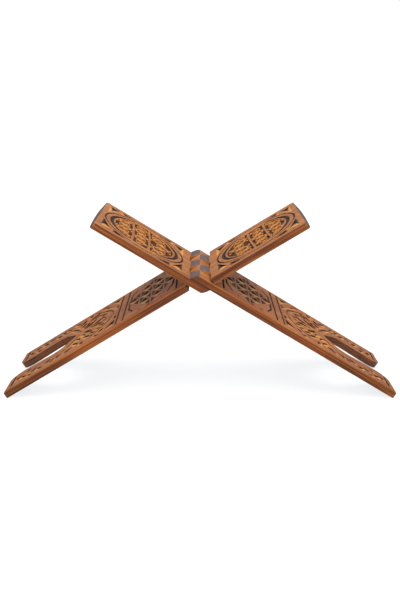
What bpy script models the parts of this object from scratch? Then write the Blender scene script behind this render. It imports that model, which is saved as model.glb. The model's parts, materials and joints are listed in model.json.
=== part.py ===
"""Folding book stand, sawn and carved from one plank.

Two leaves are locked into each other by five knuckles and have no pin. Each leaf is one piece of wood:
a reading plate above the hinge, its share of the knuckles, and a forked leg below. The hinge axis runs
along Y. The stand is open on its stops, with its feet on Z = 0.

A leaf is shaped lying flat. X runs from the foot to the top of the plate, Y along the hinge, and Z is
measured from the plank's middle plane, which holds the hinge axis at X = 0.
"""

import math

import bmesh
import bpy
from mathutils import Vector

# Driving sizes, in metres
PLANK_WIDTH = 0.200
PLATE_LENGTH = 0.2184  # hinge axis to the plate's top corners
LEG_LENGTH = 0.4275  # hinge axis to the foot
HALF_THICKNESS = 0.0138  # middle plane to a leaf's outer face
SAW_KERF = 0.001  # between the two leaves when the stand is closed
OPEN_SLOPE = math.radians(31.6)  # a leaf's slope when the stand is open

# Knuckles
ROWS = 5
ROW_GAP = 0.0004  # between the sides of neighbouring knuckles
STOP_GAP = 0.0003  # between a plate's lower end and the leg that it rests on
FOLD_CLEARANCE = 0.00187  # between a knuckle's foot and the other plate's lower end when folded
KNUCKLE_CROWN = 0.0012  # rise of that face over a flat one
CROWN_STEPS = 8

# Top of the plate
PLATE_END_LEAN = 0.003  # the outer face overhangs the inner one
PLATE_END_BOW = 0.002
BOW_STEPS = 12
CORNER_RADIUS = 0.005
CORNER_STEPS = 4

# Fork in the leg
SLOT_DEPTH = 0.149
SLOT_HALF_WIDTH = 0.036
SLOT_MOUTH_HALF_WIDTH = 0.058
MOUTH_FLARE = 0.030  # length of the rounded inner corner of a foot
# Outline from the tip to the waist above the feet, as (share of that length, share of the half width):
# a small pointed lobe, then the shoulders and sides. They meet in a cusp.
SLOT_LOBE = ((0, 0), (0.05, 0.25), (0.1, 0.41), (0.15, 0.52))
SLOT_BODY = ((0.15, 0.52), (0.18, 0.68), (0.24, 0.84), (0.33, 0.95), (0.45, 1), (0.75, 0.9), (1, 0.83))
STATION_STEPS = 4
FLARE_STEPS = 8

EDGE_ROUND = 0.0035  # rounding of the plank's long edges and ends
EDGE_SEGMENTS = 3
OVERCUT = 0.010  # how far a cutter runs past the wood

ROW_WIDTH = PLANK_WIDTH / ROWS
HALF_KERF = SAW_KERF / 2
RIDGE_X = HALF_THICKNESS * math.tan(OPEN_SLOPE)  # the ridges meet in the plane between the leaves
WINDOW_REACH = (HALF_THICKNESS * (1 + math.cos(2 * OPEN_SLOPE)) + STOP_GAP) / math.sin(2 * OPEN_SLOPE)
KNUCKLE_REACH = WINDOW_REACH - FOLD_CLEARANCE  # hinge axis to the foot of a knuckle's face
AXIS_HEIGHT = LEG_LENGTH * math.sin(OPEN_SLOPE) - HALF_KERF * math.cos(OPEN_SLOPE)


def clear_scene():
    for obj in list(bpy.data.objects):
        bpy.data.objects.remove(obj)


def wood(name, color, roughness):
    material = bpy.data.materials.new(name)
    material.use_nodes = True
    shader = material.node_tree.nodes["Principled BSDF"]
    shader.inputs["Base Color"].default_value = (*color, 1)
    shader.inputs["Roughness"].default_value = roughness
    shader.inputs["Metallic"].default_value = 0
    return material


def new_object(name, bm):
    bmesh.ops.recalc_face_normals(bm, faces=bm.faces)
    mesh = bpy.data.meshes.new(name)
    bm.to_mesh(mesh)
    bm.free()
    obj = bpy.data.objects.new(name, mesh)
    bpy.context.scene.collection.objects.link(obj)
    return obj


def hide_cutter(obj):
    obj.hide_render = True
    obj.display_type = "WIRE"
    return obj


def cut(target, cutter):
    modifier = target.modifiers.new(cutter.name, "BOOLEAN")
    modifier.operation = "DIFFERENCE"
    modifier.solver = "EXACT"
    modifier.object = cutter


def extrude_outline(bm, outline, step):
    """Closes the outline with a face and extrudes it by step."""
    face = bm.faces.new([bm.verts.new(point) for point in outline])
    result = bmesh.ops.extrude_face_region(bm, geom=[face])
    moved = [item for item in result["geom"] if isinstance(item, bmesh.types.BMVert)]
    bmesh.ops.translate(bm, vec=step, verts=moved)


def arc(centre_x, centre_y, radius, start, end, steps):
    """Points on a circle in the plank's plane, both ends included."""
    angles = [start + (end - start) * i / steps for i in range(steps + 1)]
    return [(centre_x + radius * math.cos(a), centre_y + radius * math.sin(a)) for a in angles]


def smooth(points, steps):
    """A Catmull-Rom curve through the points, from the first to the last."""
    ends = [2 * points[0] - points[1], *points, 2 * points[-1] - points[-2]]
    curve = [points[0]]
    for a, b, c, d in zip(ends, ends[1:], ends[2:], ends[3:]):
        for t in (i / steps for i in range(1, steps + 1)):
            curve.append((2 * b + (c - a) * t + (2 * a - 5 * b + 4 * c - d) * t**2
                          + (3 * b - a - 3 * c + d) * t**3) / 2)
    return curve


def slot_stations(shares):
    """Places along one side of the slot, from shares of its length above the feet and of its half width."""
    tip_x = SLOT_DEPTH - LEG_LENGTH
    length = SLOT_DEPTH - MOUTH_FLARE
    return [Vector((tip_x - along * length, out * SLOT_HALF_WIDTH)) for along, out in shares]


def slot_side():
    """One side of the fork's slot, from its tip to the end of the foot."""
    lobe = smooth(slot_stations(SLOT_LOBE), STATION_STEPS)
    body = smooth(slot_stations(SLOT_BODY), STATION_STEPS)
    side = [(point.x, point.y) for point in lobe + body[1:]]
    waist_x, waist_y = side[-1]
    rise = SLOT_MOUTH_HALF_WIDTH - waist_y
    for i in range(1, FLARE_STEPS + 1):
        turn = math.pi / 2 * i / FLARE_STEPS
        side.append((waist_x - MOUTH_FLARE * math.sin(turn), waist_y + rise * (1 - math.cos(turn))))
    return side


def plate_end():
    """The bowed top of the plate with its rounded corners, from -Y to +Y."""
    corner_y = PLANK_WIDTH / 2 - CORNER_RADIUS
    corner_x = PLATE_LENGTH - CORNER_RADIUS
    low = arc(corner_x, -corner_y, CORNER_RADIUS, -math.pi / 2, 0, CORNER_STEPS)
    high = arc(corner_x, corner_y, CORNER_RADIUS, 0, math.pi / 2, CORNER_STEPS)
    shares = [2 * i / BOW_STEPS - 1 for i in range(1, BOW_STEPS)]
    bow = [(PLATE_LENGTH + PLATE_END_BOW * (1 - share**2), share * corner_y) for share in shares]
    return low + bow + high


def is_face_edge(edge):
    """True for an edge that bounds the plank's upper or lower face."""
    a, b = (vert.co for vert in edge.verts)
    return abs(a.z - b.z) < 1e-6


def lean_plate_end(bm):
    for vert in bm.verts:
        if vert.co.x > PLATE_LENGTH - CORNER_RADIUS - 1e-6:
            vert.co.x -= PLATE_END_LEAN * vert.co.z / HALF_THICKNESS


def plank(name):
    """The whole plank with rounded edges, before anything is sawn out of it."""
    half = PLANK_WIDTH / 2
    outline = [(-LEG_LENGTH, -half), *plate_end(), (-LEG_LENGTH, half)]
    bm = bmesh.new()
    extrude_outline(bm, [(x, y, -HALF_THICKNESS) for x, y in outline], (0, 0, 2 * HALF_THICKNESS))
    lean_plate_end(bm)
    bm.normal_update()
    edges = [edge for edge in bm.edges if is_face_edge(edge)]
    bmesh.ops.bevel(bm, geom=edges, offset=EDGE_ROUND, segments=EDGE_SEGMENTS, profile=0.5,
                    affect="EDGES", clamp_overlap=True)
    return new_object(name, bm)


def fork_slot(name):
    """The gap between the two feet of a leg."""
    side = slot_side()
    mouth = -LEG_LENGTH - OVERCUT
    outline = [(mouth, SLOT_MOUTH_HALF_WIDTH), *reversed(side)]
    outline += [(x, -y) for x, y in side[1:]] + [(mouth, -SLOT_MOUTH_HALF_WIDTH)]
    depth = HALF_THICKNESS + OVERCUT
    bm = bmesh.new()
    extrude_outline(bm, [(x, y, -depth) for x, y in outline], (0, 0, 2 * depth))
    return hide_cutter(new_object(name, bm))


def knuckle_face():
    """The crowned face of a knuckle, from its foot on the plate to its ridge."""
    foot = Vector((KNUCKLE_REACH, -HALF_KERF))
    ridge = Vector((RIDGE_X, HALF_THICKNESS))
    along = ridge - foot
    outward = Vector((along.y, -along.x)).normalized()
    shares = [i / CROWN_STEPS for i in range(CROWN_STEPS + 1)]
    return [foot + along * share + outward * KNUCKLE_CROWN * 4 * share * (1 - share) for share in shares]


def saw_cut(name, turn):
    """Takes away the other leaf's half: above the plate with turn 1, below the leg with turn -1."""
    far = max(PLATE_LENGTH, LEG_LENGTH) + OVERCUT + PLATE_END_LEAN
    above = HALF_THICKNESS + OVERCUT
    ridge_out = RIDGE_X - KNUCKLE_REACH
    face = [(point.x, point.y) for point in knuckle_face()]
    top = (RIDGE_X + ridge_out * OVERCUT / HALF_THICKNESS, above)
    profile = [*face, top, (far, above), (far, -HALF_KERF)]
    half = PLANK_WIDTH / 2 + OVERCUT
    bm = bmesh.new()
    extrude_outline(bm, [(turn * x, -half, turn * z) for x, z in profile], (0, 2 * half, 0))
    return hide_cutter(new_object(name, bm))


def windows(name, rows):
    """Openings through the leaf in the rows where the other leaf has its knuckles."""
    bm = bmesh.new()
    for row in rows:
        low = -PLANK_WIDTH / 2 + row * ROW_WIDTH - ROW_GAP / 2
        high = low + ROW_WIDTH + ROW_GAP
        low -= OVERCUT if row == 0 else 0
        high += OVERCUT if row == ROWS - 1 else 0
        corners = [(-WINDOW_REACH, low), (WINDOW_REACH, low), (WINDOW_REACH, high), (-WINDOW_REACH, high)]
        depth = HALF_THICKNESS + OVERCUT
        extrude_outline(bm, [(x, y, -depth) for x, y in corners], (0, 0, 2 * depth))
    return hide_cutter(new_object(name, bm))


def leaf(name, first_window, turn, material):
    """One leaf, with every second row a window, set on the hinge axis and turned about Z."""
    obj = plank(name)
    cut(obj, saw_cut(name + "_saw_above_plate", 1))
    cut(obj, saw_cut(name + "_saw_below_leg", -1))
    cut(obj, windows(name + "_windows", range(first_window, ROWS, 2)))
    cut(obj, fork_slot(name + "_fork_slot"))
    for modifier in obj.modifiers:
        modifier.object.parent = obj
    obj.data.materials.append(material)
    obj.data.shade_smooth()
    obj.data.set_sharp_from_angle(angle=math.radians(40))
    obj.location = (0, 0, AXIS_HEIGHT)
    obj.rotation_euler = (0, -OPEN_SLOPE, turn)
    return obj


def main():
    clear_scene()
    oiled_wood = wood("oiled_wood", (0.36, 0.15, 0.05), 0.45)
    leaf("three_knuckle_leaf", 1, math.pi, oiled_wood)
    leaf("two_knuckle_leaf", 0, 0, oiled_wood)


main()
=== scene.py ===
import json
import math

import bpy
from mathutils import Matrix, Vector


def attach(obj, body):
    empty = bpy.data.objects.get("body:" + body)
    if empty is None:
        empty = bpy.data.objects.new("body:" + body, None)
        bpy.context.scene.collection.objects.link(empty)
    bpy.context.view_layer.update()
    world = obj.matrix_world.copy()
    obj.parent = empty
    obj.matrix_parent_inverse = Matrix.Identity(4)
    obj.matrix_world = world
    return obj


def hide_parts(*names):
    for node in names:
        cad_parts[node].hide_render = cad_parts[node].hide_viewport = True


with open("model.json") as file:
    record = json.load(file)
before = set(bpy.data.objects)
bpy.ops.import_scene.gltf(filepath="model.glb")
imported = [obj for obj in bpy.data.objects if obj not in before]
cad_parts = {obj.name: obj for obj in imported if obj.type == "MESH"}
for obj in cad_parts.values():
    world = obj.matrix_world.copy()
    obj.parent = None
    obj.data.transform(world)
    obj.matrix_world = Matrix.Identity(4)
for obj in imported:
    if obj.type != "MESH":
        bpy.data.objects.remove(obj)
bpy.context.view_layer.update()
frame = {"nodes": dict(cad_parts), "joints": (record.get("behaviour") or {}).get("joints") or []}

# A folding book stand: two leaves cut from one plank. Each leaf is carved lying flat on the bench, in
# millimetres: X (called u) runs along the leaf from the hinge axis to the top of the plate, Y along the
# hinge, and Z (called v) up through the wood. The leaf is then set back on its hinge.
hinge = frame["joints"][0]
HINGE_POINT = Vector(hinge["pos_m"])
SLOPE = math.radians(180 - hinge["range_deg"][1]) / 2
MM = 0.001
LEAVES = {"two_knuckle_leaf": 0, "three_knuckle_leaf": math.pi}  # and its turn about the vertical

PLATE_END = 218.4  # u of the top of the plate
CROWN_REACH = 21  # slanted faces nearer to the hinge axis than this are the crown of a knuckle
WINDOW_END = 22.8  # from the hinge axis to the ends of the windows that take the other leaf's knuckles
SLOT_TIP = -278.5  # u of the pointed top of the slot between the feet
SLOT_HALF_WIDTH = 62  # a little over half the mouth of the slot
SIDE_STARTS = (99.1, 99.9)  # where the look of the face turns into that of the side, from the middle line

# the v of each carved face, and 1 where cuts go down into it or -1 where they go up
FACES = {"plate": (-0.5, 1), "leg": (13.8, 1), "back": (-13.8, -1)}

EDGE_SOFTENING = 0.7  # width of the soft arris
CLEAR_OF_FACE = 0.06  # keeps the widest line of a cut out of the surface that it cuts
SLIVER = 0.02  # anything narrower that cutting leaves is closed up
SMOOTH_ANGLE = math.radians(38)


# ---------------------------------------------------------------------------------------------- finishes

# colours of the bare wood, from the dark to the light parts of its figure; the sides' colours are
# redder side grain, made darker than the faces with painted shade
FACE_WOOD = [(0.34, (0.142, 0.041, 0.010)), (0.46, (0.222, 0.075, 0.018)),
             (0.55, (0.285, 0.108, 0.029)), (0.68, (0.39, 0.165, 0.048))]
# the sides: redder wood, and painted shade that keeps them darker than the faces
SIDE_WOOD_AND_SHADE = [(0.38, (0.050, 0.015, 0.008)), (0.46, (0.105, 0.029, 0.009)),
             (0.52, (0.170, 0.048, 0.011)), (0.61, (0.32, 0.100, 0.018))]
DARK_PORE = (0.05, 0.017, 0.008)
BLACK = (0, 0, 0)

# tones over the wood, and where along the leaf, in millimetres from the hinge axis, they change
LEG_TONE = (1.0, 0.89, 0.78)
LEG_TO_PLATE = (-60, 10)
FOOT_FACE_TONE = 0.74
FOOT_TO_FACE = (-330, -250)
SIDE_TONE = 0.86
FOOT_SIDE_TONE = 0.45
FOOT_TO_SIDE = (-320, -230)
END_STAIN = (0.042, 0.028, 0.025)
END_STAIN_STARTS = (PLATE_END - 0.9, PLATE_END - 0.3)

# stains over the grain, and colours of the cuts, whose darker depths are partly stain and partly
# painted shade
KNUCKLE_STAIN = [(0.35, (0.040, 0.029, 0.033)), (0.65, (0.085, 0.062, 0.066))]
SLOT_STAIN = [(0.38, (0.022, 0.009, 0.005)), (0.62, (0.125, 0.040, 0.014))]
# the darkest colour, deepest in the cuts: stain darkened further as painted shade
STAIN_AND_SHADE = (0.028, 0.016, 0.013)
UMBER = (0.075, 0.026, 0.014)
RUSSET = (0.20, 0.070, 0.028)
AMBER = (0.32, 0.125, 0.030)
# the gold of fresh wood in the cuts, brightened into a painted highlight
GOLD_AND_HIGHLIGHT = (0.46, 0.225, 0.066)
FIBRE_SHADE = (0.55, 0.5, 0.5)

# the colour of a cut from the face down to SHADED_DEPTH: darker with depth, partly stain and partly
# painted shade, and gold near the face, partly fresh wood and partly a painted highlight
SHADED_DEPTH = 3
STAINED_AND_SHADED_CUT = [(0.0, AMBER), (0.10, UMBER), (0.22, STAIN_AND_SHADE)]
GOLD_AND_HIGHLIGHT_CUT = [(0.0, GOLD_AND_HIGHLIGHT), (0.5, GOLD_AND_HIGHLIGHT), (0.9, AMBER), (1.0, UMBER)]
# the relief: gold on the tops as a painted highlight, darkening down to the sunken ground as stain and
# painted shade
RELIEF_CUT = [(0.0, GOLD_AND_HIGHLIGHT), (0.30, AMBER), (0.62, RUSSET), (0.92, UMBER), (1.0, STAIN_AND_SHADE)]

GRAIN_RELIEF = 0.0003  # height of the grain in metres


class Value:
    """A number or a colour that varies over a surface. Arithmetic on it adds Math nodes."""

    def __init__(self, finish, socket):
        self.finish = finish
        self.socket = socket

    def math(self, operation, *others):
        inputs = dict(enumerate((self, *others)))
        return self.finish.node("ShaderNodeMath", {"operation": operation}, inputs)

    def __add__(self, other):
        return self.math("ADD", other)

    def __sub__(self, other):
        return self.math("SUBTRACT", other)

    def __rsub__(self, other):
        return (self * -1) + other

    def __mul__(self, other):
        return self.math("MULTIPLY", other)

    def __truediv__(self, other):
        return self.math("DIVIDE", other)

    __radd__ = __add__
    __rmul__ = __mul__

    def between(self, low, high):
        """0 below low, 1 above high, and a smooth rise in between."""
        settings = {"interpolation_type": "SMOOTHSTEP"}
        inputs = {"Value": self, "From Min": low, "From Max": high}
        return self.finish.node("ShaderNodeMapRange", settings, inputs)


class Nodes:
    """A node tree, with one method that adds every kind of node."""

    def __init__(self, tree):
        self.tree = tree

    def node(self, kind, settings, inputs, output=0):
        """Adds a node, gives it its settings and then its inputs, and returns one of its outputs."""
        node = self.tree.nodes.new(kind)
        for name, value in settings.items():
            if name == "stops":
                self.set_stops(node.color_ramp, value)
            else:
                setattr(node, name, value)
        for name, value in inputs.items():
            if isinstance(value, Value):
                self.tree.links.new(value.socket, node.inputs[name])
            else:
                node.inputs[name].default_value = value
        return Value(self, node.outputs[output])

    def set_stops(self, ramp, stops):
        while len(ramp.elements) < len(stops):
            ramp.elements.new(0)
        for element, (position, color) in zip(ramp.elements, stops):
            element.position = position
            element.color = (*color, 1)

    def axis(self, vector, index):
        return self.node("ShaderNodeSeparateXYZ", {}, {"Vector": vector}, output=index)


class Finish(Nodes):
    """One procedural finish: a material, and the patterns that its colour and relief are made of."""

    def __init__(self, name, **constants):
        self.material = bpy.data.materials.new(name)
        self.material.use_nodes = True
        super().__init__(self.material.node_tree)
        self.shader = self.tree.nodes["Principled BSDF"]
        for socket, value in constants.items():
            self.shader.inputs[socket.replace("_", " ")].default_value = value

    def ramp(self, value, stops):
        return self.node("ShaderNodeValToRGB", {"stops": stops}, {"Fac": value})

    def mix(self, factor, first, second, blend="MIX"):
        first, second = (c if isinstance(c, Value) else (*c, 1) for c in (first, second))
        settings = {"data_type": "RGBA", "blend_type": blend}
        return self.node("ShaderNodeMix", settings, {0: factor, 6: first, 7: second}, output=2)

    def noise(self, point, scale, detail=3, distortion=0.0, roughness=0.55):
        """Noise whose scale is given along the leaf, across it and through it, per millimetre."""
        stretched = self.node("ShaderNodeMapping", {}, {"Vector": point, "Scale": scale})
        inputs = {"Vector": stretched, "Scale": 1, "Detail": detail, "Roughness": roughness,
                  "Distortion": distortion}
        return self.node("ShaderNodeTexNoise", {}, inputs)

    def bench_point(self, turn):
        """Where a point lies on the flat leaf, in millimetres."""
        point = self.node("ShaderNodeTexCoord", {}, {}, output=3)
        inputs = {"Vector": point, "Location": HINGE_POINT, "Rotation": (0, -SLOPE, turn),
                  "Scale": (MM, MM, MM)}
        return self.node("ShaderNodeMapping", {"vector_type": "TEXTURE"}, inputs)

    def feed(self, socket, value):
        self.tree.links.new(value.socket, self.shader.inputs[socket])

    def bump(self, height, distance):
        self.feed("Normal", self.node("ShaderNodeBump", {}, {"Height": height, "Distance": distance}))

    def grain(self, point):
        """The wood's figure: broad bands, fine fibres and dark pores, all running along the leaf."""
        bands = self.noise(point, (0.0030, 0.06, 0.11), detail=3, distortion=0.9)
        fibres = self.noise(point, (0.010, 0.45, 0.5), detail=5, roughness=0.65)
        pores = self.noise(point, (0.05, 1.7, 1.7), detail=2)
        return bands, fibres, pores.between(0.58, 0.70)


def oiled_wood(name, turn):
    """The plank's own surface: warm on the faces, redder on the sides and darker there with painted shade,
    darker again towards the feet, and stained at the end of the plate."""
    finish = Finish(name, Specular_IOR_Level=0.12)
    point = finish.bench_point(turn)
    along = finish.axis(point, 0)
    across = finish.axis(point, 1).math("ABSOLUTE")
    bands, fibres, pores = finish.grain(point)
    face = finish.ramp(bands * 0.55 + fibres * 0.45, FACE_WOOD)
    face = finish.mix(along.between(*LEG_TO_PLATE), finish.mix(1, face, LEG_TONE, "MULTIPLY"), face)
    face_tone = along.between(*FOOT_TO_FACE) * (1 - FOOT_FACE_TONE) + FOOT_FACE_TONE
    # painted shade: the side ramp is darker than the face's
    side = finish.ramp(bands * 0.7 + fibres * 0.3, SIDE_WOOD_AND_SHADE)
    side_tone = along.between(*FOOT_TO_SIDE) * (SIDE_TONE - FOOT_SIDE_TONE) + FOOT_SIDE_TONE
    color = finish.mix(across.between(*SIDE_STARTS), finish.mix(face_tone, BLACK, face),
                       finish.mix(side_tone, BLACK, side))
    color = finish.mix(pores * 0.35, color, DARK_PORE)
    color = finish.mix(along.between(*END_STAIN_STARTS), color, END_STAIN)
    finish.feed("Base Color", color)
    finish.feed("Roughness", 0.48 + fibres * 0.22)
    finish.bump(fibres - pores * 0.8, GRAIN_RELIEF)
    return finish.material


def cut_wood(name, turn, side, stops):
    """A gouge cut in one face, coloured by how deep it lies under it, a little unevenly: darker deeper
    down, partly stain and partly painted shade.
    """
    finish = Finish(name, Roughness=0.6, Specular_IOR_Level=0.06)
    point = finish.bench_point(turn)
    fibres = finish.grain(point)[1]
    face, downward = FACES[side]
    depth = (face - finish.axis(point, 2)) * downward
    worn = finish.noise(point, (0.17, 0.17, 0.17))
    # painted shade: the colour darkens with the depth of the cut under the face
    color = finish.ramp(depth / SHADED_DEPTH + (worn - 0.5) * 0.6, stops)
    color = finish.mix((1 - fibres) * 0.5, color, FIBRE_SHADE, "MULTIPLY")
    finish.feed("Base Color", color)
    finish.bump(fibres, GRAIN_RELIEF)
    return finish.material


def stained_wood(name, turn, stops):
    """One even stain over the grain."""
    finish = Finish(name, Roughness=0.6, Specular_IOR_Level=0.15)
    bands, fibres, pores = finish.grain(finish.bench_point(turn))
    color = finish.mix(pores * 0.5, finish.ramp(fibres * 0.6 + bands * 0.4, stops), DARK_PORE)
    finish.feed("Base Color", color)
    finish.bump(fibres, GRAIN_RELIEF)
    return finish.material


def finishes_of(name, turn):
    """The finishes of one leaf: three of its own, and those of the cuts in each of its faces."""
    made = {"oiled": oiled_wood(name + "_oiled", turn),
            "knuckle": stained_wood(name + "_knuckle_stain", turn, KNUCKLE_STAIN),
            "slot": stained_wood(name + "_slot_stain", turn, SLOT_STAIN)}
    cuts = [(side, kind, stops) for side in FACES
            for kind, stops in (("stained_and_shaded", STAINED_AND_SHADED_CUT), ("gold_highlight", GOLD_AND_HIGHLIGHT_CUT))]
    for side, kind, stops in [*cuts, ("plate", "relief", RELIEF_CUT)]:
        made[side, kind] = cut_wood("_".join((name, side, kind)), turn, side, stops)
    return made


# ----------------------------------------------------------------------------------------- carving tools


def select_only(obj):
    bpy.ops.object.select_all(action="DESELECT")
    obj.select_set(True)
    bpy.context.view_layer.objects.active = obj


def apply_modifier(obj, kind, **settings):
    select_only(obj)
    bpy.ops.object.modifier_add(type=kind)
    modifier = obj.modifiers[-1]
    for name, value in settings.items():
        setattr(modifier, name, value)
    bpy.ops.object.modifier_apply(modifier=modifier.name)


def close_up(obj):
    """Closes the ends of a cutter and turns its faces outwards."""
    select_only(obj)
    bpy.ops.object.mode_set(mode="EDIT")
    bpy.ops.mesh.select_all(action="SELECT")
    bpy.ops.mesh.remove_doubles(threshold=0.001)
    bpy.ops.mesh.fill_holes(sides=0)
    bpy.ops.mesh.normals_make_consistent(inside=False)
    bpy.ops.object.mode_set(mode="OBJECT")


def clear_slivers(obj):
    """Takes out the specks that cutting leaves along the edges of a cut."""
    select_only(obj)
    bpy.ops.object.mode_set(mode="EDIT")
    bpy.ops.mesh.select_all(action="SELECT")
    bpy.ops.mesh.remove_doubles(threshold=SLIVER)
    bpy.ops.mesh.dissolve_degenerate(threshold=SLIVER)
    bpy.ops.mesh.delete_loose()
    bpy.ops.object.mode_set(mode="OBJECT")


def join(pieces):
    """Makes the pieces one object and returns it."""
    select_only(pieces[0])
    for piece in pieces:
        piece.select_set(True)
    bpy.ops.object.join()
    return bpy.context.object


def take_away(target, cutters):
    """Cuts the joined cutters, which may cross each other, out of the target."""
    cutter = join(cutters)
    apply_modifier(target, "BOOLEAN", operation="DIFFERENCE", solver="EXACT", use_self=True,
                   material_mode="TRANSFER", object=cutter)
    bpy.data.objects.remove(cutter)


def smooth_path(points, steps):
    """A curve through the points, with the given number of steps from each to the next."""
    points = [Vector(p) for p in points]
    held = [2 * points[0] - points[1], *points, 2 * points[-1] - points[-2]]
    path = []
    for a, b, c, d in zip(held, held[1:], held[2:], held[3:]):
        for t in (i / steps for i in range(steps)):
            path.append((2 * b + (c - a) * t + (2 * a - 5 * b + 4 * c - d) * t**2
                         + (3 * b - a - 3 * c + d) * t**3) / 2)
    return [*path, points[-1]]


def arc(centre, radii, start, end, steps):
    """Points on an ellipse, both ends included. Angles are in degrees."""
    angles = [math.radians(start + (end - start) * i / steps) for i in range(steps + 1)]
    return [Vector((centre[0] + radii[0] * math.cos(a), centre[1] + radii[1] * math.sin(a)))
            for a in angles]


def circle(centre, radius):
    """The 60 points of a closed circle."""
    return arc(centre, (radius, radius), 0, 354, 59)


def tapered(path, width, blunt=0.04):
    """A stroke that swells from a point, or from the blunt share of its width, to its full width in the
    middle."""
    count = len(path) - 1
    widths = [width * max(math.sin(math.pi * i / count) ** 0.7, blunt) for i in range(count + 1)]
    return path, widths, False


def even(path, width, closed=False):
    """A stroke of one width."""
    return path, [width] * len(path), closed


def leaf_cut(root, tip, bow, width):
    """A comma cut from its root to its tip, bowed sideways."""
    root, tip = Vector(root), Vector(tip)
    along = tip - root
    side = Vector((-along.y, along.x)).normalized() * bow
    return tapered(smooth_path([root, root + along * 0.5 + side, tip], 4), width)


# that gold side is coloured as a painted highlight
FRONT_SLOPE = -0.08  # the gold side of a leaning cut has a normal that points further forward than this
CHIP_LIFT = 0.5  # how far a chip's cutter stands out of the face


class Bench:
    """One leaf lying flat, with the cutters for one of its faces. hand is -1 where the flat leaf's Y runs
    against the stand's Y, so that both leaves are drawn in the stand's own sense."""

    def __init__(self, hand, side, finishes):
        self.cutters = []
        self.hand = hand
        self.side = side
        self.face, self.downward = FACES[side]
        self.finishes = finishes

    def finish(self, kind):
        return self.finishes[self.side, kind]

    def gouge(self, strokes, kind, steepness=1.0, roundness=0, level=None, lean=0.0):
        """Strokes of a gouge, each a path with its widths and whether it is closed, as one cutter. Each is
        a tube, diamond-shaped or rounder, with its middle at the face or at level. Lean moves the bottom of
        a cut towards the back by that share of its depth, and leaves a long gold slope in front of it,
        coloured as a painted highlight."""
        bpy.ops.curve.primitive_bezier_curve_add()
        cutter = bpy.context.object
        curve = cutter.data
        curve.splines.clear()
        curve.dimensions = "3D"
        curve.twist_mode = "Z_UP"
        curve.bevel_depth = 0.5
        curve.bevel_resolution = roundness
        for path, widths, closed in strokes:
            spline = curve.splines.new("POLY")
            spline.points.add(len(path) - 1)
            spline.use_cyclic_u = closed
            for point, place, width in zip(spline.points, path, widths):
                point.co = (place[0], place[1] * self.hand, 0, 1)
                point.radius = width
        select_only(cutter)
        bpy.ops.object.convert(target="MESH")
        shape = Matrix.Diagonal((1, 1, steepness, 1))
        shape[1][2] = -lean * self.hand * self.downward * steepness
        height = self.face + CLEAR_OF_FACE * self.downward if level is None else level
        cutter.data.transform(Matrix.Translation((0, 0, height)) @ shape)
        cutter.data.materials.clear()
        cutter.data.materials.append(self.finish(kind))
        cutter.data.materials.append(self.finish("gold_highlight"))
        close_up(cutter)
        if lean:
            for polygon in cutter.data.polygons:
                polygon.material_index = int(polygon.normal.y * self.hand < FRONT_SLOPE)
        return cutter

    def leaning_chip(self, outline, depth):
        """A chip whose deepest point lies towards the back, with a long gold slope in front of it, coloured
        as a painted highlight.
        """
        middle = sum((Vector(p) for p in outline), Vector((0, 0))) / len(outline)
        back = max(y for u, y in outline)
        deep = (middle.x, middle.y + (back - middle.y) * 0.5, depth)
        corners = list(zip(outline, outline[1:] + outline[:1]))
        gold_highlight = {i for i, (a, b) in enumerate(corners) if (a[1] + b[1]) / 2 < middle.y}
        return outline, deep, gold_highlight

    def chips(self, chips):
        """Pyramid chips, each an outline, its deepest point (u, y, depth) and its gold sides, as one
        cutter. The gold sides carry a painted highlight, the others the stained finish that darkens with
        depth as painted shade. Side i of a chip starts at corner i of its outline."""
        pieces = []
        for outline, (u, y, depth), gold_highlight_sides in chips:
            tip = len(outline)
            bpy.ops.mesh.primitive_cone_add(vertices=tip, radius1=1, radius2=0, depth=1)
            chip = bpy.context.object
            apex = Vector((u, y * self.hand, self.face - depth * self.downward))
            lift = 1 + CHIP_LIFT / depth
            for vert, (corner_u, corner_y) in zip(chip.data.vertices, outline):
                corner = Vector((corner_u, corner_y * self.hand, self.face))
                vert.co = apex + (corner - apex) * lift
            chip.data.vertices[tip].co = apex
            chip.data.materials.append(self.finish("stained_and_shaded"))
            chip.data.materials.append(self.finish("gold_highlight"))
            for polygon in chip.data.polygons:
                if tip in polygon.vertices:
                    first, last = sorted(set(polygon.vertices) - {tip})
                    polygon.material_index = int((first if last - first == 1 else last) in gold_highlight_sides)
            pieces.append(chip)
        cutter = join(pieces)
        close_up(cutter)
        return cutter

    def pocket(self, outline, depth, kind):
        """A sunken ground with slightly sloping walls, as a cutter that starts 1 mm above the face."""
        bpy.ops.mesh.primitive_circle_add(vertices=len(outline), fill_type="NGON")
        cutter = bpy.context.object
        for vert, (u, y) in zip(cutter.data.vertices, outline):
            vert.co = (u, y * self.hand, self.face + self.downward)
        cutter.data.materials.append(self.finish(kind))
        bpy.ops.object.mode_set(mode="EDIT")
        bpy.ops.mesh.select_all(action="SELECT")
        drop = {"value": (0, 0, -(depth + 1) * self.downward)}
        bpy.ops.mesh.extrude_region_move(TRANSFORM_OT_translate=drop)
        bpy.ops.transform.resize(value=(0.985, 0.985, 1))
        bpy.ops.object.mode_set(mode="OBJECT")
        close_up(cutter)
        return cutter

    def cut(self, cutter):
        self.cutters.append(cutter)


# ---------------------------------------------------------------------------------------------- carving

PANEL_EDGE = 88  # half width of every carved panel

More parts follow.
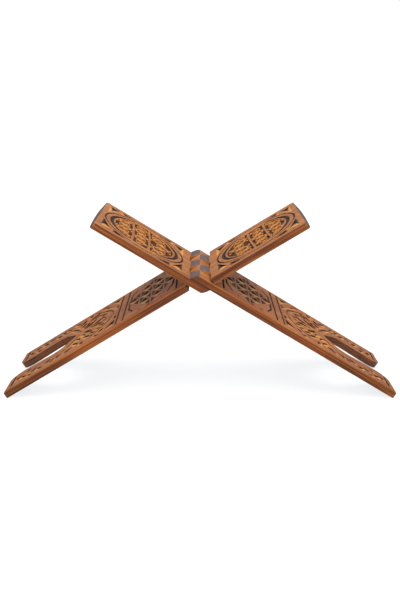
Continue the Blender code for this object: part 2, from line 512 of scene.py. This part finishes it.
# the medallion: where it is, and the sizes of its lines
MEDALLION_U = 123
MEDALLION = (MEDALLION_U, 0)
RING_RADIUS = 84
RING_CUT = 4.0
RING_INNER_RADIUS = 75
CRESCENT_REACH = 66  # degrees to each side of its middle
OVAL = (66, 73)  # half sizes along and across the leaf
OVAL_RIM = 3
BARS = (112, 147)  # u of the two bars across the oval
BAR_LEAN = 5
BAR_BOW = 2
BAR_HALF_WIDTH = 1.9
GROUND_DEPTH = 3.0
NARROWEST_GROUND = 2
RELIEF_HEIGHT = 2.8
RIDGE = 4.6  # width of the vines
VINE_PITCHES = (27, 24, 25)  # from curl to curl in each ground
FRAME_REACH = 85  # from the medallion's middle to the square frame, along the leaf


def medallion_rings(bench):
    """The round line about the medallion, and the crescents between it and the oval."""
    bench.cut(bench.gouge([even(circle(MEDALLION, RING_RADIUS), RING_CUT, True)], "stained_and_shaded"))
    crescents = []
    for middle in (0, 180):
        ends = (middle - CRESCENT_REACH, middle + CRESCENT_REACH)
        outer = arc(MEDALLION, (RING_INNER_RADIUS, RING_INNER_RADIUS), *ends, 24)
        inner = arc(MEDALLION, OVAL, *ends, 24)
        path = [(a + b) / 2 for a, b in zip(outer, inner)]
        crescents.append((path, [(a - b).length for a, b in zip(outer, inner)], False))
    bench.cut(bench.gouge(crescents, "stained_and_shaded", steepness=0.75))


def bar_u(bar, y, hand):
    """Where a leaning, bowed bar lies at y."""
    share = y / OVAL[1]
    return bar - hand * BAR_LEAN * share + BAR_BOW * share**2


def compartments(hand):
    """The three grounds of the medallion, each as a function that gives its two edges at y."""
    def oval(y):
        return (OVAL[0] - OVAL_RIM) * math.sqrt(max(1 - (y / (OVAL[1] - OVAL_RIM)) ** 2, 0))

    def bar_edge(bar, side):
        return lambda y: bar_u(bar, y, hand) + side * BAR_HALF_WIDTH

    edges = [(lambda y: MEDALLION_U - oval(y), bar_edge(BARS[0], -1)),
             (bar_edge(BARS[0], 1), bar_edge(BARS[1], -1)),
             (bar_edge(BARS[1], 1), lambda y: MEDALLION_U + oval(y))]

    def clipped(low, high):
        def at(y):
            return (max(low(y), MEDALLION_U - oval(y)), min(high(y), MEDALLION_U + oval(y)))
        return at
    return [clipped(low, high) for low, high in edges]


def compartment_outline(at):
    """Both edges of a ground, wherever it is wide enough to carve."""
    reach = OVAL[1] - OVAL_RIM
    rows = [reach * math.sin(math.radians(a)) for a in range(-90, 91, 6)]
    rows = [y for y in rows if at(y)[1] - at(y)[0] > NARROWEST_GROUND]
    return [(at(y)[1], y) for y in rows] + [(at(y)[0], y) for y in reversed(rows)]


def curl(centre, radius, start, turning):
    """A path that winds inwards one and a half times from start degrees."""
    turns = 1.55
    count = int(turns * 14)
    path = []
    for i in range(count + 1):
        share = i / count
        a = math.radians(start + turning * 360 * turns * share)
        r = radius * (1 - 0.86 * share)
        path.append(Vector((centre[0] + r * math.cos(a), centre[1] + r * math.sin(a))))
    return path


def running_scroll(at, pitch):
    """A vine that runs across the leaf between two edges, with a curl in each bend and leaves about it."""
    count = int(2 * (OVAL[1] - OVAL_RIM) / pitch)
    strokes = []
    stem = []
    for i in range(count):
        y = (i - (count - 1) / 2) * pitch
        low, high = at(y)
        side = 1 if i % 2 else -1
        swing = min(max((high - low) / 2 - 2.5, 3), pitch * 0.56)
        centre = Vector(((low + high) / 2, y))
        stem.append(centre + Vector((side * swing, 0)))
        winding = curl(centre, swing, 0 if side > 0 else 180, side)
        widths = [RIDGE * (1 - 0.45 * j / len(winding)) for j in range(len(winding))]
        strokes.append((winding, widths, False))
        bud = [centre + Vector((0.8, 0)), centre + Vector((0, 0.4)), centre - Vector((0.8, 0))]
        strokes.append(tapered(bud, RIDGE * 1.6, blunt=0.8))
        for k in (-1, 1):
            root = centre + Vector((side * swing * 0.55, k * pitch * 0.36))
            tip = centre + Vector((-side * swing * 0.9, k * pitch * 0.50))
            middle = (root + tip) / 2 + Vector((0, -k * pitch * 0.10))
            strokes.append(tapered(smooth_path([root, middle, tip], 4), RIDGE * 1.25))
            root = centre + Vector((side * (swing + 0.5), k * pitch * 0.14))
            tip = centre + Vector((side * (swing + 7), k * pitch * 0.42))
            middle = (root + tip) / 2 + Vector((0, k * 1.5))
            strokes.append(tapered(smooth_path([root, middle, tip], 4), RIDGE * 1.2))
    strokes.append(even(smooth_path(stem, 8), RIDGE * 1.1))
    return strokes


def medallion_relief(bench):
    """The scrollwork left standing in the medallion's three sunken grounds: gold on top as a painted
    highlight, darkening into the ground as stain and painted shade.
    """
    height = 2 * RELIEF_HEIGHT / RIDGE
    floor = bench.face - (GROUND_DEPTH + CLEAR_OF_FACE) * bench.downward
    for at, pitch in zip(compartments(bench.hand), VINE_PITCHES):
        ground = bench.pocket(compartment_outline(at), GROUND_DEPTH, "relief")
        vine = bench.gouge(running_scroll(at, pitch), "relief", steepness=height, roundness=1, level=floor)
        take_away(ground, [vine])
        bench.cut(ground)


# chips in each corner of the medallion's square frame: u and y in from the corner, and the depth
CORNER_CHIPS = (([(0.5, 6), (0.5, 57), (22.5, 6)], 3.6), ([(2, 0.5), (21, 0.5), (21, 4.5)], 2.2),
                ([(25.5, 0.5), (56, 0.5), (25.5, 18)], 3.2))


def spandrels(bench):
    """The chips in the four corners between the medallion and its square frame."""
    chips = []
    for end in (-1, 1):
        for side in (-1, 1):
            for points, depth in CORNER_CHIPS:
                outline = [(MEDALLION_U + end * (FRAME_REACH - u), side * (PANEL_EDGE - y))
                           for u, y in points]
                chips.append(bench.leaning_chip(outline, depth))
    bench.cut(bench.chips(chips))


# the lattice panel, and the straight lines across the leg at the ends of its panels
LATTICE_U = -100.8
LATTICE_PITCH = 27.8  # along the leaf
LATTICE_ROW = 42  # across it
RIB_HALF_WIDTH = 1.35
DIAMOND_DEPTH = 3.2
TRIANGLE_DEPTH = 2.6
BORDER_CUTS = (-42.5, -160, -176)
BORDER_CUT_WIDTH = 4.4


def leg_borders(bench):
    """The straight lines across the leg at the ends of its panels."""
    lines = [even([Vector((u, -PANEL_EDGE)), Vector((u, PANEL_EDGE))], BORDER_CUT_WIDTH)
             for u in BORDER_CUTS]
    bench.cut(bench.gouge(lines, "stained_and_shaded"))


def lattice(bench):
    """Diamond and triangle chips that leave a lattice of ribs standing."""
    half_pitch = LATTICE_PITCH / 2
    half_row = LATTICE_ROW / 2
    slope = math.atan2(half_row, half_pitch)
    back_u = RIB_HALF_WIDTH / math.sin(slope)
    back_y = RIB_HALF_WIDTH / math.cos(slope)
    chips = []
    for column in (-1.5, -0.5, 0.5, 1.5):
        u = LATTICE_U + column * LATTICE_PITCH
        for y in (0,) if abs(column) > 1 else (-LATTICE_ROW, 0, LATTICE_ROW):
            du = half_pitch - back_u
            dy = half_row - back_y
            outline = [(u - du, y), (u, y - dy), (u + du, y), (u, y + dy)]
            # the two front sides of each diamond take the gold of a painted highlight
            chips.append((outline, (u, y + dy * 0.68, DIAMOND_DEPTH), {0, 1}))
    for rib in (-1, 0, 1):
        for y in (-1.5, -0.5, 0.5, 1.5) if rib == 0 else (-0.5, 0.5):
            for side in (-1, 1):
                u = LATTICE_U + rib * LATTICE_PITCH
                y_mid = y * LATTICE_ROW
                base = half_row * (1 - RIB_HALF_WIDTH / half_pitch) - back_y
                near = u + side * RIB_HALF_WIDTH
                far = u + side * (half_pitch - back_u)
                outline = [(near, y_mid - base), (near, y_mid + base), (far, y_mid)]
                chips.append((outline, (u + side * 5, y_mid, TRIANGLE_DEPTH), set()))
    bench.cut(bench.chips(chips))


# the scalloped line: u from the middle of the lattice towards one end, and y in one half
SCALLOPS = [(56, 0), (51, 8), (50, 24), (50, 38), (45, 52), (41, 61), (38, 71)]
SIDE_SCALLOPS = ([(30, 73), (24, 77.5), (18, 80)], [(10, 78), (3, 82.5), (-4, 85)])
SCALLOP_WIDTH = 4.2


def cartouche(bench):
    """The scalloped line about the lattice, with two more scallops along each side."""
    strokes = []
    for end in (-1, 1):
        for side in (-1, 1):
            def corner(points):
                return smooth_path([(LATTICE_U + end * u, side * y) for u, y in points], 4)
            path = corner(SCALLOPS)
            swell = [math.sin(math.pi * min(i / len(path), 0.96)) ** 0.6 for i in range(len(path))]
            strokes.append((path, [0.5 + SCALLOP_WIDTH * share for share in swell], False))
            for points in SIDE_SCALLOPS:
                strokes.append(tapered(corner(points), SCALLOP_WIDTH))
    bench.cut(bench.gouge(strokes, "stained_and_shaded"))


# the scroll panel, one half: the chips under its straight line, the arch, and the ogee round the fork
SCROLLS_START = -181
SCROLL_CHIPS = ([(0, 83), (0, 46), (-25, 83)], [(0, 40), (0, 24), (-7, 40)])
SCROLL_CHIP_DEPTH = 2.8
ARCH = [(-191, 0), (-197, 26), (-213, 48), (-232, 65), (-244, 82)]
ARCH_WIDTH = 5.5
OGEE = [(-266, 2), (-275, 21), (-290, 46), (-300, 54), (-314, 59), (-330, 78)]
OGEE_WIDTH = 6.0

# the leaves in one half of the scroll panel: root u and y, tip u and y, bow and width
FOLIAGE = (
    (-250, 4, -222, 3, 2, 8.2), (-238, 10, -212, 20, -4, 10.5), (-262, 8, -241, 17, 3, 10.5),
    (-205, 4, -214, 12, 2, 7.5), (-222, 22, -206, 32, 3, 9.8), (-256, 20, -236, 38, -4, 11.2),
    (-266, 17, -255, 42, -4, 10.5), (-276, 30, -263, 52, -3, 10.5), (-228, 34, -214, 44, 2, 8.2),
    (-256, 46, -240, 64, -4, 12), (-242, 38, -224, 52, 3, 9.8), (-238, 54, -230, 63, 2, 8.2),
    (-281, 50, -266, 72, -4, 11.2), (-254, 66, -250, 84, 3, 9.8), (-274, 64, -293, 82, 3, 10.5),
    (-300, 62, -312, 80, 3, 9), (-182, 20, -186, 38, 1, 6.8), (-206, 62, -216, 74, 2, 9),
    (-212, 84, -228, 78, -2, 9),
)

# the leaves on one foot, in the same form
FOOT_LEAVES = (
    (-394, 60, -406, 70, 3, 11.2), (-380, 74, -394, 64, -3, 10.5), (-374, 48, -384, 58, 3, 9),
    (-358, 62, -371, 73, 3, 11.2), (-343, 78, -357, 68, -3, 10.5), (-325, 62, -338, 72, 3, 10.5),
    (-314, 70, -326, 80, 3, 9), (-366, 82, -378, 78, -2, 8.2),
)
FOOT_LINE_U = -413.5
FOOT_LINE_START = 43
FOOT_LINE_WIDTH = 6
VEIN_STEEPNESS = 0.4


def leaves_and_veins(leaves, side, root_shift, tip_shift, vein_width):
    """The comma cuts of one half's leaves, and a gold vein in front of each, coloured as a painted
    highlight.
    """
    cuts = []
    veins = []
    for u, y, v, z, bow, width in leaves:
        root, tip = Vector((u, side * y)), Vector((v, side * z))
        cuts.append(leaf_cut(root, tip, side * bow, width))
        veins.append(leaf_cut(root + Vector(root_shift), tip + Vector(tip_shift), side * bow, vein_width))
    return cuts, veins


def leg_scrolls(bench):
    """The arch, the ogee round the fork with gold veins to each side, and the foliage between them. The
    gold veins are painted highlights.
    """
    lines = []
    cuts = []
    veins = []
    for side in (-1, 1):
        for points, width in ((ARCH, ARCH_WIDTH), (OGEE, OGEE_WIDTH)):
            path = smooth_path([(u, side * y) for u, y in points], 5)
            lines.append(tapered(path, width, blunt=0.35))
            for shift in (-9, 9):
                veins.append(tapered([p + Vector((shift, 0)) for p in path[2:-4]], 3.2, blunt=0.3))
        leaf_cuts, leaf_veins = leaves_and_veins(FOLIAGE, side, (-5, -4), (-5, -5), 3)
        cuts += leaf_cuts
        veins += leaf_veins
    corners = [[(SCROLLS_START + u, side * y) for u, y in points]
               for points in SCROLL_CHIPS for side in (-1, 1)]
    bench.cut(bench.chips([bench.leaning_chip(outline, SCROLL_CHIP_DEPTH) for outline in corners]))
    bench.cut(bench.gouge(veins, "gold_highlight", steepness=VEIN_STEEPNESS))
    bench.cut(bench.gouge(lines, "stained_and_shaded", steepness=0.7))
    bench.cut(bench.gouge(cuts, "stained_and_shaded", steepness=0.45, lean=1.2))


def foot_vines(bench):
    """The line across each foot and the leaves that lead up from it."""
    lines = []
    cuts = []
    veins = []
    for side in (-1, 1):
        ends = [Vector((FOOT_LINE_U, side * y)) for y in (FOOT_LINE_START, PANEL_EDGE)]
        lines.append(even(ends, FOOT_LINE_WIDTH))
        leaf_cuts, leaf_veins = leaves_and_veins(FOOT_LEAVES, side, (-4, -5), (-4, -5), 3.5)
        cuts += leaf_cuts
        veins += leaf_veins
    bench.cut(bench.gouge(lines, "stained_and_shaded"))
    # gold veins beside the leaves, painted as highlights
    bench.cut(bench.gouge(veins, "gold_highlight", steepness=VEIN_STEEPNESS))
    bench.cut(bench.gouge(cuts, "stained_and_shaded", steepness=0.6, lean=1.0))


BACK_RING_RADIUS = 70
BACK_SQUARE = 82  # half its side


def plate_back(bench):
    """The outer face of a plate: a plain round line within a square one."""
    square = [Vector((MEDALLION_U + a * BACK_SQUARE, b * BACK_SQUARE))
              for a, b in ((-1, -1), (1, -1), (1, 1), (-1, 1))]
    for path in (circle(MEDALLION, BACK_RING_RADIUS), square):
        bench.cut(bench.gouge([even(path, RING_CUT, True)], "stained_and_shaded"))


# ----------------------------------------------------------------------------------------------- leaves

FLAT = math.radians(0.1)  # faces that meet at less than this are one flat face
SHARP = math.radians(50)  # edges sharper than this are arrises
CARVINGS = {"plate": (medallion_rings, medallion_relief, spandrels),
            "leg": (leg_borders, lattice, cartouche, leg_scrolls, foot_vines),
            "back": (plate_back,)}


def to_stand(turn):
    """Takes a flat leaf in millimetres to its place on the hinge in metres."""
    return (Matrix.Translation(HINGE_POINT) @ Matrix.Rotation(turn, 4, "Z")
            @ Matrix.Rotation(-SLOPE, 4, "Y") @ Matrix.Diagonal((MM, MM, MM, 1)))


def flat_leaf(name, turn):
    """The sawn leaf lying flat, with its arrises softened."""
    leaf = bpy.data.objects.new("carved_" + name, frame["nodes"][name].data.copy())
    bpy.context.scene.collection.objects.link(leaf)
    leaf.data.transform(to_stand(turn).inverted())
    select_only(leaf)
    bpy.ops.object.mode_set(mode="EDIT")
    bpy.ops.mesh.select_all(action="SELECT")
    bpy.ops.mesh.remove_doubles(threshold=0.01)
    bpy.ops.mesh.dissolve_limited(angle_limit=FLAT)
    bpy.ops.mesh.customdata_custom_splitnormals_clear()
    bpy.ops.object.mode_set(mode="OBJECT")
    apply_modifier(leaf, "BEVEL", width=EDGE_SOFTENING, segments=2, limit_method="ANGLE",
                   angle_limit=SHARP)
    return leaf


def stain(leaf):
    """Stains the crowned knuckle faces, the ends of the windows and the walls of the slot."""
    for polygon in leaf.data.polygons:
        u, y, v = polygon.center
        normal = polygon.normal
        crowned = abs(u) < CROWN_REACH and abs(normal.x) > 0.5 and normal.x * normal.z > 0.25
        window_end = abs(abs(u) - WINDOW_END) < 0.3 and abs(normal.x) > 0.9
        slot_wall = u < SLOT_TIP + 1 and abs(y) < SLOT_HALF_WIDTH and abs(normal.z) < 0.3
        polygon.material_index = 2 if slot_wall else int(crowned or window_end)


def carved_leaf(name, turn):
    """One finished leaf on the hinge."""
    finishes = finishes_of(name, turn)
    leaf = flat_leaf(name, turn)
    leaf.data.materials.clear()
    for kind in ("oiled", "knuckle", "slot"):
        leaf.data.materials.append(finishes[kind])
    stain(leaf)
    cutters = []
    for side, carvings in CARVINGS.items():
        bench = Bench(-1 if turn else 1, side, finishes)
        for carve in carvings:
            carve(bench)
        cutters += bench.cutters
    take_away(leaf, cutters)
    clear_slivers(leaf)
    leaf.data.transform(to_stand(turn))
    select_only(leaf)
    bpy.ops.object.shade_smooth_by_angle(angle=SMOOTH_ANGLE)
    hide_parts(name)
    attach(leaf, name)


# ----------------------------------------------------------------------------------------------- studio

CAMERA_BACK = 1.3888
CAMERA_ABOVE_HINGE = 0.3813
CAMERA_PITCH = 17.65  # degrees below level
FOCAL_LENGTH = 44.83

FLOOR_SIZE = 30
PAPER_GREY = (0.20, 0.20, 0.20, 1)
PAPER_TINT = (0.93, 0.97, 1, 1)
PAPER_GLOW = 0.80
HORIZON = 1.02
OVERHEAD = 0.35
SKY_DIMS = (0.25, 0.70)  # heights between which the sky goes from the horizon's brightness to overhead's
LIGHT_COLOR = (1.0, 0.95, 0.86)

# from above, from the front and from behind: strength, where the light comes from, and its spread
LIGHTS = ((4.1, (0.07, -0.14, 1.0), 65), (2.2, (0.1, -1.0, 0.36), 45), (0.3, (0.0, 1.0, 0.50), 45))


def camera():
    """Looks down at the stand from the front."""
    place = (0, -CAMERA_BACK, HINGE_POINT.z + CAMERA_ABOVE_HINGE)
    bpy.ops.object.camera_add(location=place, rotation=(math.radians(90 - CAMERA_PITCH), 0, 0))
    eye = bpy.context.object
    eye.data.lens = FOCAL_LENGTH
    bpy.context.scene.camera = eye


def soft_light(strength, source, spread):
    """A wide, soft light from the direction of its source."""
    bpy.ops.object.light_add(type="SUN")
    light = bpy.context.object
    light.data.energy = strength
    light.data.color = LIGHT_COLOR
    light.data.angle = math.radians(spread)
    light.rotation_euler = Vector(source).to_track_quat("Z", "Y").to_euler()


def studio():
    """A white paper floor that glows a little, a bright sky and three soft lights."""
    bpy.ops.mesh.primitive_plane_add(size=FLOOR_SIZE)
    floor = bpy.context.object
    floor.name = "floor"
    paper = Finish("white_paper", Base_Color=PAPER_GREY, Roughness=0.9, Emission_Color=PAPER_TINT,
                   Emission_Strength=PAPER_GLOW)
    floor.data.materials.append(paper.material)
    world = bpy.data.worlds.new("studio")
    bpy.context.scene.world = world
    world.use_nodes = True
    sky = Nodes(world.node_tree)
    height = sky.axis(sky.node("ShaderNodeTexCoord", {}, {}), 2)
    brightness = HORIZON + height.between(*SKY_DIMS) * (OVERHEAD - HORIZON)
    background = world.node_tree.nodes["Background"]
    background.inputs["Color"].default_value = (1, 1, 1, 1)
    world.node_tree.links.new(brightness.socket, background.inputs["Strength"])
    bpy.context.scene.view_settings.view_transform = "Standard"
    for light in LIGHTS:
        soft_light(*light)


camera()
studio()
for leaf_name, leaf_turn in LEAVES.items():
    carved_leaf(leaf_name, leaf_turn)
